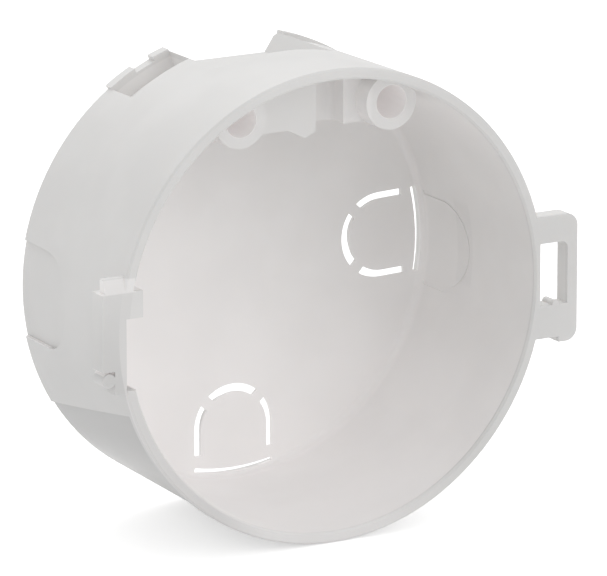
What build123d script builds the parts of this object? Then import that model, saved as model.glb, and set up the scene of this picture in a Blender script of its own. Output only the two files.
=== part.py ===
from build123d import *
import os
from math import asin, cos, degrees, radians, sin, sqrt

# Round flush mounting box for one wall device, moulded as one piece of white plastic.
# It is drawn with X across, Y up and Z out of the open mouth, and its rear face at Z = 0.
# At the end it is turned as it sits in a wall: Z up, the mouth towards -Y, the rear face at Y = 0.

# Cup
rim_radius = 34.0          # outer radius at the open rim
draft_drop = 0.7           # how much smaller the outer radius is at the rear
depth = 31.6               # rear face to rim
wall = 1.6
floor_thickness = 1.7
rear_bevel = 0.6           # outer edge between floor and wall
floor_corner = 1.0         # inner round between floor and wall
rim_bevel = 0.3

# Knock-outs in the floor: one arch outline each, pierced by slots and held by small bridges
knock_outs = ((-89.8, 0.6, 0.2), (2.3, 0.9, 0.0))  # angle, width of the base slot, skew of the sides
knock_half_width = 5.8
knock_length = 12.1        # tip of the arch to the base slot
knock_wall_gap = 1.0       # base slot to the inner wall
knock_membrane = 0.45      # floor left at the outline
slot_width = 1.2
side_slot_width = 1.0
bridge_angle = 46.0        # bridges beside the tip slot, from the outward line
bridge_width = 1.7
base_bridge = 2.15         # bridge between a side slot and the base slot

# Knock-outs in the wall: arched panels sunk into the outside, open at the rear edge
panel_angles = (0.0, 180.0, -90.0)
panel_half_width = 7.0
panel_length = 14.6
panel_sink = 0.55
score_width = 0.6          # thin line inside, along the panel's edge
score_depth = 0.12

# Screw bosses for the device
screw_pitch = 24.0
boss_radius = 4.0
boss_setback = 5.5         # rim to the face of a boss
boss_wall_gap = 0.4        # edge of the screw hole to the inner wall
screw_hole_radius = 2.4
screw_hole_depth = 15.0

# Web between the bosses, with a pointed tab below and a channel beside it
web_setback = 8.7          # rim to the face of the web
web_thickness = 2.0
web_drop = 8.4             # inner wall to the lower edge of the web
tab_half_width = 2.8
tab_point = 1.4            # how far the tab hangs below the web
channel_start = 1.7        # left and right side of the channel
channel_end = 6.1
channel_depth = 3.4
channel_wall = 1.5
channel_corner = 1.0

# Scoop in the top for a conduit that comes from behind
scoop_half_width = 6.3     # of its floor
scoop_sink = 3.7           # at the rear edge
scoop_flares = (1.57, 0.67)  # outward lean of the left and the right side
scoop_length = 14.0
scoop_ramp = 2.4
scoop_skin = 1.6

# Pockets beside the scoop, each closed behind by an ear of the floor plate
pocket_centre = 91.5       # angle of the line halfway between them
pocket_start = 16.0        # angles from that line, to both sides
pocket_end = 33.5
pocket_length = 7.6        # rear face to the front edge of a pocket
pocket_depth = 2.6
pocket_skin = 1.5
ear_reach = 0.4            # of an ear beyond the wall's rear edge
ear_notch_angle = 23.2     # only in the left ear
ear_notch_width = 3.2
ear_notch_depth = 0.7

# Link loop on the right, in which the next box hangs
loop_relief = 0.75         # flat cut into the wall behind the hole
loop_hole_width = 4.5
loop_hole_height = 9.1
loop_hole_rise = 0.4       # hole above the level of the axis
loop_hole_corner = 1.0     # upper corner beside the bar
loop_bar = 1.6
loop_half_height = 8.9
loop_thickness = 2.8
loop_corner = 1.8
loop_hook_width = 3.0
loop_hook = 0.8            # bar longer than the lower arm
pip_offset = 2.6           # from the wall side of the hole
pip_radius = 0.6

# Link catch on the left
catch_inset = 0.95         # its inner side lies this far inside the rim's outer edge
catch_clearance = 0.4      # catch to each side of the hole of a loop
catch_top = 6.4
catch_bottom = -4.6
catch_thickness = 3.0
catch_foot = -7.95         # of the strip that carries the nub
ledge_height = 2.0
ledge_slope = 0.75
ledge_length = 1.7
ledge_setback = 0.5        # from the outer side of the plate
ledge_inset = 0.4          # into the rim, past the plate
nub_radius = 1.0
nub_gap = 0.25
nub_gap_length = 1.9
notch_top = 2.6
notch_foot = 0.35          # notch ends this far above the foot of the catch
notch_depth = 4.2
pad_reach = 2.6            # stop that stands inside the rim above the notch

# Sunk panel on the lower left of the outside
side_panel_start = -154.8  # at half the depth
side_panel_end = -112.0
side_panel_lean = 11.9     # of its upper edge, which drops towards the rim
side_panel_sink = 0.4
side_panel_lip = 1.5       # rim left standing in front of it

margin = 1.0               # how far a cutting body runs past what it cuts
seam_angle = -45.0         # seam of every turned surface, away from the details


def outer_radius(z):
    """Outer radius of the drafted wall at height z."""
    return rim_radius - draft_drop * (1 - z / depth)


def bore_radius(z):
    """Inner radius of the drafted wall at height z."""
    return outer_radius(z) - wall


def frustum(radius_at, offset, start, end):
    """Solid between two heights that follows the drafted wall at a distance."""
    first = radius_at(start) + offset
    last = radius_at(end) + offset
    body = Cone(first, last, end - start, align=(Align.CENTER, Align.CENTER, Align.MIN))
    return Pos(0, 0, start) * Rot(0, 0, seam_angle) * body


def block(x_min, x_max, y_min, y_max, z_min, z_max):
    """Box between two corners."""
    body = Box(x_max - x_min, y_max - y_min, z_max - z_min, align=Align.MIN)
    return Pos(x_min, y_min, z_min) * body


def turned(body, angle):
    """Body turned about the axis of the cup."""
    return Rot(0, 0, angle) * body


def ring_sector(inner, outer, start, end, low, high):
    """Piece of a ring between two angles and two heights."""
    span = radians(end - start)
    reach = outer / cos(span / 4) + margin
    middle = radians((start + end) / 2)
    corners = [(0, 0)]
    for angle in (radians(start), middle, radians(end)):
        corners.append((reach * cos(angle), reach * sin(angle)))
    wedge = make_face(Polyline(*corners, close=True))
    ring = Circle(outer) - Circle(inner)
    return Pos(0, 0, low) * extrude(ring & wedge, amount=high - low)


def drafted_cup():
    """Cup with its rounded edges, turned about the axis."""
    section = make_face(
        Polyline(
            (0, 0),
            (outer_radius(0), 0),
            (outer_radius(depth), depth),
            (bore_radius(depth), depth),
            (bore_radius(floor_thickness), floor_thickness),
            (0, floor_thickness),
            close=True,
        )
    )
    cup = revolve(Plane.XZ * section, Axis.Z)
    circles = cup.edges().filter_by(GeomType.CIRCLE).sort_by(Axis.Z)
    cup = chamfer(circles[0], rear_bevel)
    circles = cup.edges().filter_by(GeomType.CIRCLE)
    inner = circles.filter_by_position(Axis.Z, floor_thickness, floor_thickness)
    cup = fillet(inner, floor_corner)
    cup = chamfer(cup.edges().filter_by(GeomType.CIRCLE).group_by(Axis.Z)[-1], rim_bevel)
    return turned(cup, seam_angle)


def arch(half_width, tip, base):
    """Flat arch that points towards -X, from its tip to its open base."""
    centre = tip + half_width
    straight = Pos((centre + base) / 2, 0) * Rectangle(base - centre, 2 * half_width)
    cap = Pos(centre, 0) * Circle(half_width) & Pos(tip, 0) * Rectangle(2 * half_width, 2 * half_width)
    return straight + cap


def floor_knock_out(base_slot_width, skew):
    """Groove and slots of one knock-out, drawn on the +X side of the floor."""
    base = bore_radius(floor_thickness) - knock_wall_gap
    tip = base - knock_length
    centre = tip + knock_half_width
    half_slot = slot_width / 2
    half_side = side_slot_width / 2
    side_end = sqrt(base**2 - knock_half_width**2) - base_bridge
    band = arch(knock_half_width + half_side, tip - half_slot, side_end)
    band -= Pos(0, skew) * arch(knock_half_width - half_side, tip + half_slot, side_end + margin)
    for side in (1, -1):
        bridge = Pos(-knock_half_width, 0) * Rectangle(2 * slot_width, bridge_width)
        band -= Pos(centre, 0) * Rot(0, 0, -side * bridge_angle) * bridge
    half_base = degrees(asin((knock_half_width + half_side) / base))
    half_base_slot = base_slot_width / 2
    low = -margin
    high = floor_thickness + margin
    slots = Pos(0, 0, low) * extrude(band, amount=high - low)
    slots += ring_sector(base - half_base_slot, base + half_base_slot, -half_base, half_base, low, high)
    outer_side = knock_half_width + slot_width
    groove_end = base + half_base_slot + slot_width / 4
    groove = arch(outer_side, tip - slot_width, groove_end)
    groove -= arch(knock_half_width - slot_width, tip + slot_width, base - slot_width)
    sunk = floor_thickness - knock_membrane
    slots += Pos(0, 0, -margin) * extrude(groove & Circle(groove_end), amount=sunk + margin)
    return slots


def wall_arch(half_width):
    """Arched prism that stands on the rear edge and runs out through the +X wall."""
    height = panel_length - panel_half_width
    outline = Pos(0, (height - margin) / 2) * Rectangle(2 * half_width, height + margin)
    outline += Pos(0, height) * Circle(half_width)
    reach = rim_radius + margin
    start = rim_radius / 2
    return extrude(Plane.YZ.offset(start) * outline, amount=reach - start)


def wall_knock_outs(box):
    """Arched panels sunk into the outside of the wall, with a scored line inside."""
    past = panel_length + margin
    core = frustum(outer_radius, -panel_sink, -margin, past)
    sunk = wall_arch(panel_half_width) - core
    line = wall_arch(panel_half_width) - wall_arch(panel_half_width - score_width)
    line &= frustum(bore_radius, score_depth, floor_thickness + floor_corner, past)
    for angle in panel_angles:
        box -= turned(sunk, angle)
    box -= turned(line, panel_angles[0])
    return box


def boss_height():
    """Height of the bosses' faces."""
    return depth - boss_setback


def screw_level():
    """Distance of the screw line above the axis."""
    reach = bore_radius(boss_height()) - boss_wall_gap - screw_hole_radius
    return sqrt(reach**2 - (screw_pitch / 2) ** 2)


def screw_bosses():
    """Two posts from the floor that run into the wall."""
    low = floor_thickness / 2
    height = boss_height() - low
    bosses = None
    for side in (1, -1):
        post = Cylinder(boss_radius, height, align=(Align.CENTER, Align.CENTER, Align.MIN))
        post = Pos(side * screw_pitch / 2, screw_level(), low) * post
        bosses = post if bosses is None else bosses + post
    return bosses


def screw_holes():
    """Blind holes in the bosses."""
    holes = None
    for side in (1, -1):
        length = screw_hole_depth + margin
        hole = Cylinder(screw_hole_radius, length, align=(Align.CENTER, Align.CENTER, Align.MAX))
        hole = Pos(side * screw_pitch / 2, screw_level(), boss_height() + margin) * hole
        holes = hole if holes is None else holes + hole
    return holes


def web():
    """Thin web between the bosses with its tab and its channel."""
    face = depth - web_setback
    top = rim_radius
    lower = bore_radius(face) - web_drop
    half = screw_pitch / 2
    outline = make_face(
        Polyline(
            (-half, top),
            (-half, lower),
            (-tab_half_width, lower),
            (0, lower - tab_point),
            (tab_half_width, lower),
            (half, lower),
            (half, top),
            close=True,
        )
    )
    body = Pos(0, 0, face - web_thickness) * extrude(outline, amount=web_thickness)
    bottom = face - channel_depth
    left = channel_start - channel_wall
    right = channel_end + channel_wall
    body += block(left, right, lower, top, bottom - channel_wall, face)
    channel = block(channel_start, channel_end, 0, 2 * rim_radius, bottom, depth)
    channel = fillet(channel.edges().filter_by(Axis.Y).group_by(Axis.Z)[0], channel_corner)
    return body - channel


def scoop_lining():
    """Inner wall of the scoop, a hump inside the top of the cup."""
    half = scoop_half_width + 1.4 * scoop_skin
    lower = outer_radius(0) - scoop_sink - scoop_skin
    end = scoop_length + scoop_ramp + scoop_skin
    return block(-half, half, lower, rim_radius, floor_thickness / 2, end)


def scoop():
    """Ramp cut into the outside of the top."""
    level = outer_radius(0) - scoop_sink
    top = rim_radius + margin
    slope = scoop_ramp * (top - level) / scoop_sink
    side = make_face(
        Polyline(
            (level, -margin),
            (level, scoop_length),
            (top, scoop_length + slope),
            (top, -margin),
            close=True,
        )
    )
    left, right = [flare * (top - level) for flare in scoop_flares]
    end = make_face(
        Polyline(
            (-scoop_half_width, level),
            (-scoop_half_width - left, top),
            (scoop_half_width + right, top),
            (scoop_half_width, level),
            close=True,
        )
    )
    body = extrude(Plane.YZ * side, amount=rim_radius, both=True)
    return body & Pos(0, 0, -2 * margin) * extrude(end, amount=depth)


def both_pockets(body):
    """Body beside the line between the pockets, and its mirror image."""
    return turned(body + mirror(body, Plane.XZ), pocket_centre)


def pocket_linings():
    """Thicker wall inside each pocket."""
    inner = outer_radius(0) - pocket_depth - pocket_skin
    high = pocket_length + pocket_skin
    extra = degrees(pocket_skin / rim_radius)
    outer = outer_radius(0) - wall / 2
    start = pocket_start - extra
    end = pocket_end + extra
    return both_pockets(ring_sector(inner, outer, start, end, floor_thickness / 2, high))


def pockets():
    """Pockets in the outside."""
    inner = outer_radius(0) - pocket_depth
    outer = rim_radius + margin
    return both_pockets(ring_sector(inner, outer, pocket_start, pocket_end, floor_thickness, pocket_length))


def ears():
    """Edges of the floor plate behind the pockets, which stand out a little."""
    outer = outer_radius(0) + ear_reach
    plates = both_pockets(ring_sector(bore_radius(0), outer, pocket_start, pocket_end, 0, floor_thickness))
    notch_end = outer - ear_notch_depth
    half_notch = ear_notch_width / 2
    notch = block(notch_end, rim_radius, -half_notch, half_notch, -margin, floor_thickness + margin / 2)
    return plates, turned(notch, pocket_centre + ear_notch_angle)


def link_loop():
    """Loop beside the rim, with its hole still closed."""
    inner = rim_radius - loop_relief
    outer = inner + loop_hole_width + loop_bar
    low = depth - loop_thickness
    start = bore_radius(low)
    body = block(start, outer, -loop_half_height, loop_half_height, low, depth)
    body += block(outer - loop_hook_width, outer, -loop_half_height - loop_hook, 0, low, depth)
    corners = body.edges().filter_by(Axis.Z).group_by(Axis.X)[-1]
    body = fillet(corners, loop_corner)
    return body - frustum(outer_radius, -wall / 2, low - margin, depth + margin)


def link_loop_hole():
    """Hole of the loop, less the pip on its lower side."""
    inner = rim_radius - loop_relief
    bottom = loop_hole_rise - loop_hole_height / 2
    top = bottom + loop_hole_height
    low = depth - loop_thickness
    hole = block(inner, inner + loop_hole_width, bottom, top, low - margin, depth + margin)
    hole = fillet(hole.edges().filter_by(Axis.Z).sort_by(Axis.X)[-2:].sort_by(Axis.Y)[-1], loop_hole_corner)
    pip = Cylinder(pip_radius, depth, align=(Align.CENTER, Align.CENTER, Align.MIN))
    hole -= Pos(inner + pip_offset, bottom, 0) * pip
    return hole


def catch_sides():
    """Outer and inner X of the catch, as thick as the loop's hole allows."""
    inner = catch_inset - rim_radius
    return inner - loop_hole_width + 2 * catch_clearance, inner


def link_catch():
    """Plate beside the rim with a bevelled ledge on top and a round nub below."""
    outer, inner = catch_sides()
    low = depth - catch_thickness
    nub_x = outer + nub_radius
    nub_y = catch_bottom - nub_gap - nub_radius
    body = block(outer, inner, catch_bottom, catch_top, low, depth)
    body += block(outer + nub_gap_length, inner, catch_foot, catch_bottom, low, depth)
    nub = Cylinder(nub_radius, catch_thickness, align=(Align.CENTER, Align.CENTER, Align.MIN))
    body += Pos(nub_x, nub_y, low) * nub
    ledge_side = make_face(
        Polyline(
            (catch_top, depth - ledge_length),
            (catch_top, depth),
            (catch_top + ledge_height, depth - ledge_slope),
            (catch_top + ledge_height, depth - ledge_length),
            close=True,
        )
    )
    start = outer + ledge_setback
    ledge = extrude(Plane.YZ.offset(start) * ledge_side, amount=inner - start + ledge_inset)
    body += ledge
    pad = block(inner, inner + pad_reach, notch_top, catch_top, low, depth)
    return body + pad


def catch_notch():
    """Gap in the wall behind the catch."""
    inner_side = catch_sides()[1]
    low = catch_foot + notch_foot
    return block(inner_side, -rim_radius / 2, low, notch_top, depth - notch_depth, depth + margin)


def side_panel():
    """Shallow panel sunk into the lower left of the outside."""
    end = depth - side_panel_lip
    above = side_panel_start - 2 * side_panel_lean
    ring = ring_sector(rim_radius / 2, rim_radius + margin, above, side_panel_end, -margin, end)
    below = Box(3 * rim_radius, 2 * rim_radius, 3 * depth, align=(Align.CENTER, Align.MIN, Align.CENTER))
    below = Pos(0, 0, depth / 2) * Rot(side_panel_lean, 0, 0) * below
    ring &= turned(below, side_panel_start)
    return ring - frustum(outer_radius, -side_panel_sink, -2 * margin, end + margin)


def mounting_box():
    """The whole moulding."""
    box = drafted_cup()
    inside = frustum(outer_radius, -wall / 2, 0, depth)
    box += (screw_bosses() + web() + scoop_lining() + pocket_linings()) & inside
    box -= screw_holes()
    box -= scoop()
    box -= pockets()
    plates, notch = ears()
    box += plates
    box -= notch
    box = wall_knock_outs(box)
    box -= side_panel()
    for angle, base_slot_width, skew in knock_outs:
        box -= turned(floor_knock_out(base_slot_width, skew), angle)
    box += link_loop()
    box -= link_loop_hole()
    box += link_catch()
    box -= catch_notch()
    return Rot(90, 0, 0) * box


os.makedirs("parts", exist_ok=True)
finished = mounting_box()
export_step(finished, "parts/mounting_box.step")
print("solids", len(finished.solids()), "volume", round(finished.volume, 1), "faces", len(finished.faces()))
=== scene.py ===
import math

import bpy
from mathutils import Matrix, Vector


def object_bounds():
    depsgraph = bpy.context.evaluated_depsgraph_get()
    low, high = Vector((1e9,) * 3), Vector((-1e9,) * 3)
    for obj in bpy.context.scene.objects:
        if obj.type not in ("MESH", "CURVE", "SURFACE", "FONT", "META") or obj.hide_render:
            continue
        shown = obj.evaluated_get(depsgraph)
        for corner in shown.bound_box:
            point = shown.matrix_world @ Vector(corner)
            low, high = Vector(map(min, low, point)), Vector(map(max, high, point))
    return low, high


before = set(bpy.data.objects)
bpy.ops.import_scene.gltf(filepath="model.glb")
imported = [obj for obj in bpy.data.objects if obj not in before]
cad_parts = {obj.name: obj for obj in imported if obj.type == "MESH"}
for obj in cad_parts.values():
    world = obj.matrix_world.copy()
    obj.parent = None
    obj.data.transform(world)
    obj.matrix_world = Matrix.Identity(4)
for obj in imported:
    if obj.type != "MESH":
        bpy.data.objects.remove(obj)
cadLow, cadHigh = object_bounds()
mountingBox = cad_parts["mounting_box"]
print("frame loaded")


class Wire:  # a socket that can be used in sums
    def __init__(self, graph, socket):
        self.graph = graph
        self.socket = socket

    def join(self, operation, first, second=0.0):
        node = self.graph.make("ShaderNodeMath", {"operation": operation}, {0: first, 1: second})
        return self.graph.wire(node)

    def __add__(self, other):
        return self.join("ADD", self, other)

    def __radd__(self, other):
        return self.join("ADD", other, self)

    def __sub__(self, other):
        return self.join("SUBTRACT", self, other)

    def __rsub__(self, other):
        return self.join("SUBTRACT", other, self)

    def __mul__(self, other):
        return self.join("MULTIPLY", self, other)

    def __rmul__(self, other):
        return self.join("MULTIPLY", other, self)

    def root(self):
        return self.join("SQRT", self)

    def larger(self, other):
        return self.join("MAXIMUM", self, other)

    def size(self):  # without its sign
        return self.join("ABSOLUTE", self)

    def angle(self, across):  # of a point, this wire being its height
        return self.join("ARCTAN2", self, across)


class Graph:  # the nodes of one material or of the world
    def __init__(self, owner):
        owner.use_nodes = True
        self.tree = owner.node_tree
        self.tree.nodes.clear()

    def make(self, kind, settings, sockets):
        node = self.tree.nodes.new(kind)
        for name, value in settings.items():
            setattr(node, name, value)
        for name, value in sockets.items():
            if isinstance(value, Wire):
                self.tree.links.new(value.socket, node.inputs[name])
            else:
                node.inputs[name].default_value = value
        return node

    def wire(self, node, output=0):
        return Wire(self, node.outputs[output])

    def rise(self, value, span):  # 0 below the span, 1 above it
        low, high = span
        node = self.make(
            "ShaderNodeMapRange",
            {"interpolation_type": "SMOOTHSTEP"},
            {"Value": value, "From Min": low, "From Max": high},
        )
        return self.wire(node)

    def fall(self, value, span):  # 1 below the span, 0 above it
        return 1 - self.rise(value, span)

    def band(self, value, span):  # 1 within the span, with soft ends
        low, high = span
        soft = (high - low) / 10
        return self.rise(value, (low, low + soft)) * self.fall(value, (high - soft, high))

    def noise(self, place, scale, detail):
        node = self.make("ShaderNodeTexNoise", {}, {"Vector": place, "Scale": scale, "Detail": detail})
        return self.wire(node, "Fac")

    def blend(self, factor, first, second):  # one colour over another
        node = self.make("ShaderNodeMix", {"data_type": "RGBA"}, {0: factor, 6: first, 7: second})
        return self.wire(node, 2)


plastic = {
    "color": (0.815, 0.808, 0.798, 1),
    "cloudColor": (0.785, 0.778, 0.768, 1),
    "cloudScale": 70,
    "cloudDetail": 3,
    "cloudSpan": (0.35, 0.65),
    "roughness": 0.45,
    "roughnessSpread": 0.12,
    "grainScale": 2600,
    "grainDetail": 2,
    "grainDepth": 0.000012,
    "grainStrength": 0.5,
    "specular": 0.42,
    "subsurface": 0.10,
    "subsurfaceRadius": (0.0020, 0.0018, 0.0016),
    # Places on the box, in metres: a side is along x, a height along z, and what is named
    # a depth, face, front, back, bottom or foot is along y. The panel's edge and end are in radians.
    "skinRadius": (0.0325, 0.0327),  # between the inside and the outside of the wall
    "catchRadius": (0.0341, 0.0343),  # loop and catch stand out further
    "rimFace": (-0.0311, -0.0309),
    "floorFace": (-0.0015, -0.0011),  # between the floor's two faces
    # painted shade: the colour blended in where the box lies in shade
    "paintedShadeColor": (0.530, 0.527, 0.523, 1),
    "panelEdge": (-2.605, -2.585),  # angle of the sunk panel's upper edge, below which painted shade darkens the panel
    "panelLean": 6.3,  # how that angle changes with the depth
    "panelEnd": (-2.5, -2.0),
    "panelFront": (-0.0302, -0.0298),
    "lowShadeHeight": (-0.0165, 0.0160),  # painted shade: the outside gets darker towards its lower left
    "lowShadeSide": (-0.020, -0.010),
    "lowShadeAmount": 0.50,
    "frontShadeSide": (0.008, 0.030),  # painted shade: the front faces get darker towards the right
    "frontShadeAmount": 0.18,
    "tipSide": (0.030, 0.031),  # painted soft shade inside, at the tip of the right wall's knock-out
    "tipDepth": (-0.0152, -0.0108),
    "tipHeight": (-0.0055, 0.0080),
    "tipAmount": 0.12,
    "glowTint": (1.055, 0.985, 0.998),
    "glow": (0.019, 0.145),  # painted light standing in for light that shines through the walls, least and most
    "glowTurn": (-0.50, -0.86),  # x and z of where it comes from, below and to the left
    "glowSpan": (-0.024, 0.026),  # measured that way
    "floorFront": (-0.0035, -0.0025),
    "floorGlow": 0.026,  # more of it on the floor
    "cornerSide": (0.014, 0.020),  # painted light: lighter wall inside the top right
    "cornerHeight": (0.012, 0.026),
    "cornerRadius": (0.0308, 0.0314),
    "cornerGlow": 0.045,
    "channelSide": (0.0017, 0.0092),  # painted light on the channel in the web and what stands right of it
    "channelHeight": (0.0225, 0.0230),
    "channelBottom": (-0.0190, -0.0180),
    "channelGlow": 0.040,
    "holePlace": (0.012, 0.02693),  # of the right screw hole; the left one mirrors it
    "holeRadius": (0.0024, 0.0025),
    "holeFoot": (-0.0112, -0.0110),
    "holeGlow": 0.095,
    "topHeight": (0.0250, 0.0260),  # what lies outside in the scoop and the pockets; the pockets get painted light
    "topDepth": (-0.0172, -0.0162),
    "pocketSide": (0.0085, 0.0090),
    "pocketGlow": 0.055,
    "rimGlowSpan": (0.006, 0.030),  # measured the same way: only the rim's lower left gets painted light
    "rimGlow": 0.090,
    "leftSide": (-0.0317, -0.0315),  # of the ledge, the slit and the step
    "ledgeHeight": (0.0062, 0.0084),
    "ledgeBack": (-0.0297, -0.0295),
    "ledgeGlow": 0.10,
    "slitHeight": (-0.0052, -0.0045),  # between the catch and its nub
    "slitDepth": (-0.0314, -0.0280),
    "slitSide": (-0.0347, -0.0345),
    "slitGlow": 0.13,
    "stepHeight": (-0.00706, -0.00694),  # lower side of the left wall panel, lit with painted light against its shade
    "stepDepth": (-0.0080, -0.0076),
    "stepGlow": 0.13,
}


class Spot:  # where a point of the box lies, as wires
    def __init__(self, graph):
        self.place = graph.wire(graph.make("ShaderNodeTexCoord", {}, {}), "Object")
        split = graph.make("ShaderNodeSeparateXYZ", {}, {"Vector": self.place})
        self.x = graph.wire(split, "X")
        self.y = graph.wire(split, "Y")
        self.z = graph.wire(split, "Z")
        self.radius = (self.x * self.x + self.z * self.z).root()
        self.outside = graph.rise(self.radius, plastic["skinRadius"])
        self.within = 1 - self.outside
        self.rim = graph.fall(self.y, plastic["rimFace"])
        across, up = plastic["glowTurn"]
        self.lowSide = self.x * across + self.z * up


# painted shade on the sunk panel, the outside's lower left, the right front faces and inside the
# knock-out's tip
def paintedShade(graph, spot):
    turn = spot.z.angle(spot.x) - spot.y * plastic["panelLean"]
    panel = graph.rise(turn, plastic["panelEdge"]) * spot.outside
    panel = panel * graph.fall(turn, plastic["panelEnd"]) * graph.rise(spot.y, plastic["panelFront"])
    low = graph.fall(spot.z, plastic["lowShadeHeight"]) * graph.fall(spot.x, plastic["lowShadeSide"])
    low = low * spot.outside * plastic["lowShadeAmount"]
    front = spot.rim * graph.rise(spot.x, plastic["frontShadeSide"]) * plastic["frontShadeAmount"]
    tip = spot.within * graph.rise(spot.x, plastic["tipSide"]) * graph.band(spot.y, plastic["tipDepth"])
    tip = tip * graph.band(spot.z, plastic["tipHeight"]) * plastic["tipAmount"]
    return panel.larger(low).larger(front).larger(tip)


def insideGlow(graph, spot, top):  # painted light on the floor and the inner wall
    least, most = plastic["glow"]
    glow = least + graph.rise(spot.lowSide, plastic["glowSpan"]) * (most - least)
    floor = graph.rise(spot.y, plastic["floorFront"])
    corner = graph.rise(spot.x, plastic["cornerSide"]) * graph.rise(spot.z, plastic["cornerHeight"])
    corner = corner * graph.rise(spot.radius, plastic["cornerRadius"])
    channel = graph.band(spot.x, plastic["channelSide"]) * graph.rise(spot.z, plastic["channelHeight"])
    channel = channel * graph.fall(spot.y, plastic["channelBottom"])
    glow = glow + floor * plastic["floorGlow"] + corner * plastic["cornerGlow"]
    glow = glow + channel * plastic["channelGlow"]
    return glow * spot.within * graph.fall(spot.y, plastic["floorFace"]) * (1 - top) * (1 - spot.rim)


# painted light inside the two screw holes
def holeGlow(graph, spot):
    across, up = plastic["holePlace"]
    offX = spot.x.size() - across
    offZ = spot.z - up
    hole = graph.fall((offX * offX + offZ * offZ).root(), plastic["holeRadius"])
    return hole * graph.fall(spot.y, plastic["holeFoot"]) * plastic["holeGlow"]


def leftGlow(graph, spot):  # painted light on the small forms at the left
    left = graph.fall(spot.x, plastic["leftSide"])
    ledge = graph.band(spot.z, plastic["ledgeHeight"]) * graph.fall(spot.y, plastic["ledgeBack"])
    slit = graph.band(spot.z, plastic["slitHeight"]) * graph.band(spot.y, plastic["slitDepth"])
    slit = slit * graph.fall(spot.x, plastic["slitSide"])
    step = graph.band(spot.z, plastic["stepHeight"]) * graph.rise(spot.y, plastic["stepDepth"])
    glow = ledge * plastic["ledgeGlow"] + slit * plastic["slitGlow"] + step * plastic["stepGlow"]
    return left * glow


def paintedLight(graph, spot):  # painted light: emission standing in for the light that thin natural plastic lets through
    top = graph.rise(spot.z, plastic["topHeight"]) * graph.rise(spot.y, plastic["topDepth"])
    pocket = top * spot.within * graph.rise(spot.x.size(), plastic["pocketSide"])
    rim = spot.rim * graph.fall(spot.radius, plastic["catchRadius"])
    rim = rim * graph.rise(spot.lowSide, plastic["rimGlowSpan"])
    glow = insideGlow(graph, spot, top) + holeGlow(graph, spot) + leftGlow(graph, spot)
    return glow + pocket * plastic["pocketGlow"] + rim * plastic["rimGlow"]


def plasticMaterial():
    material = bpy.data.materials.new("whitePlastic")
    graph = Graph(material)
    spot = Spot(graph)
    clouds = graph.noise(spot.place, plastic["cloudScale"], plastic["cloudDetail"])
    grain = graph.noise(spot.place, plastic["grainScale"], plastic["grainDetail"])
    white = graph.blend(graph.rise(clouds, plastic["cloudSpan"]), plastic["color"], plastic["cloudColor"])
    # painted light as emission, standing in for light that passes through the thin plastic
    glow = graph.make(
        "ShaderNodeVectorMath",
        {"operation": "SCALE"},
        {0: plastic["glowTint"], "Scale": paintedLight(graph, spot)},
    )
    bump = graph.make(
        "ShaderNodeBump",
        {},
        {"Height": grain, "Distance": plastic["grainDepth"], "Strength": plastic["grainStrength"]},
    )
    surface = graph.make(
        "ShaderNodeBsdfPrincipled",
        {},
        {
            # base colour with the painted shade blended in
            "Base Color": graph.blend(paintedShade(graph, spot), white, plastic["paintedShadeColor"]),
            "Roughness": plastic["roughness"] + (clouds - 0.5) * plastic["roughnessSpread"],
            "Specular IOR Level": plastic["specular"],
            "Subsurface Weight": plastic["subsurface"],
            "Subsurface Radius": plastic["subsurfaceRadius"],
            "Subsurface Scale": 1.0,
            "Emission Color": graph.wire(glow),
            "Emission Strength": 1.0,
            "Normal": graph.wire(bump),
        },
    )
    graph.make("ShaderNodeOutputMaterial", {}, {"Surface": graph.wire(surface)})
    return material


whitePlastic = plasticMaterial()
for slot in mountingBox.material_slots:
    slot.material = whitePlastic
print("plastic on the box")


view = {
    "azimuth": -29.82,
    "elevation": 14.67,
    "distance": 1.0,
    "lens": 426.5,
    "aimLeft": 0.00454,  # the box sits right of the picture's middle
    "aimUp": 0.00274,  # and below it
    "nearest": 0.05,
    "farthest": 20,
}


def turnToward(item, target):
    item.rotation_mode = "QUATERNION"
    item.rotation_quaternion = (target - item.location).to_track_quat("-Z", "Y")


def placeCamera():
    azimuth = math.radians(view["azimuth"])
    elevation = math.radians(view["elevation"])
    flat = math.cos(elevation)
    back = Vector((math.sin(azimuth) * flat, -math.cos(azimuth) * flat, math.sin(elevation)))
    right = Vector((math.cos(azimuth), math.sin(azimuth), 0))
    up = back.cross(right)
    rimCentre = Vector((0, cadLow.y, 0))
    data = bpy.data.cameras.new("camera")
    data.lens = view["lens"]
    data.clip_start = view["nearest"]
    data.clip_end = view["farthest"]
    camera = bpy.data.objects.new("camera", data)
    bpy.context.scene.collection.objects.link(camera)
    camera.location = rimCentre + back * view["distance"]
    turnToward(camera, rimCentre - right * view["aimLeft"] + up * view["aimUp"])
    bpy.context.scene.camera = camera


placeCamera()
print("camera placed")


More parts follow.
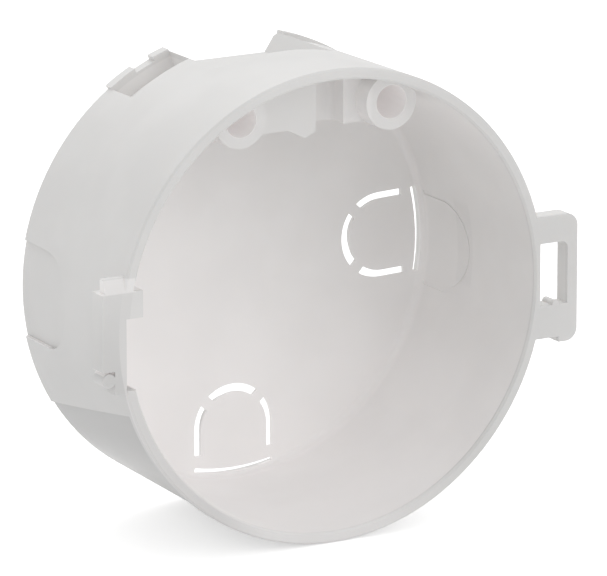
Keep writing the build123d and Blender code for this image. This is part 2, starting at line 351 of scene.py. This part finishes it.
studio = {
    "floorSize": 6.0,
    "floorGap": 0.0001,
    "floorColor": (0.90, 0.90, 0.90, 1),
    "floorGlow": 0.50,  # seen by the camera and in reflections
    "worldColor": (1, 1, 1, 1),
    "worldStrength": 0.695,
    "lamps": (  # name, place, size and power of each
        ("top", (0.1, 0.5, 0.8), 0.8, 2.95),
        ("key", (0.55, -0.9, 0.45), 0.8, 1.2),
    ),
}


def makeFloor():
    half = studio["floorSize"] / 2
    level = cadLow.z - studio["floorGap"]
    mesh = bpy.data.meshes.new("floor")
    corners = [(-half, -half, level), (half, -half, level), (half, half, level), (-half, half, level)]
    mesh.from_pydata(corners, [], [(0, 1, 2, 3)])
    floor = bpy.data.objects.new("floor", mesh)
    bpy.context.scene.collection.objects.link(floor)
    material = bpy.data.materials.new("paleFloor")
    graph = Graph(material)
    rays = graph.make("ShaderNodeLightPath", {}, {})
    seen = graph.wire(rays, "Is Camera Ray").larger(graph.wire(rays, "Is Glossy Ray"))
    paper = graph.make("ShaderNodeBsdfDiffuse", {}, {"Color": studio["floorColor"]})
    glow = graph.make("ShaderNodeEmission", {}, {"Strength": seen * studio["floorGlow"]})
    both = graph.make("ShaderNodeAddShader", {}, {0: graph.wire(paper), 1: graph.wire(glow)})
    graph.make("ShaderNodeOutputMaterial", {}, {"Surface": graph.wire(both)})
    mesh.materials.append(material)


def makeLamps():
    for name, place, size, power in studio["lamps"]:
        data = bpy.data.lights.new(name, "AREA")
        data.size = size
        data.energy = power
        lamp = bpy.data.objects.new(name, data)
        bpy.context.scene.collection.objects.link(lamp)
        lamp.location = place
        turnToward(lamp, Vector((0, 0, 0)))


def makeWorld():
    world = bpy.data.worlds.new("studio")
    bpy.context.scene.world = world
    graph = Graph(world)
    light = {"Color": studio["worldColor"], "Strength": studio["worldStrength"]}
    sky = graph.make("ShaderNodeBackground", {}, light)
    graph.make("ShaderNodeOutputWorld", {}, {"Surface": graph.wire(sky)})


makeFloor()
makeLamps()
makeWorld()
bpy.context.scene.view_settings.view_transform = "Standard"
print("studio ready")
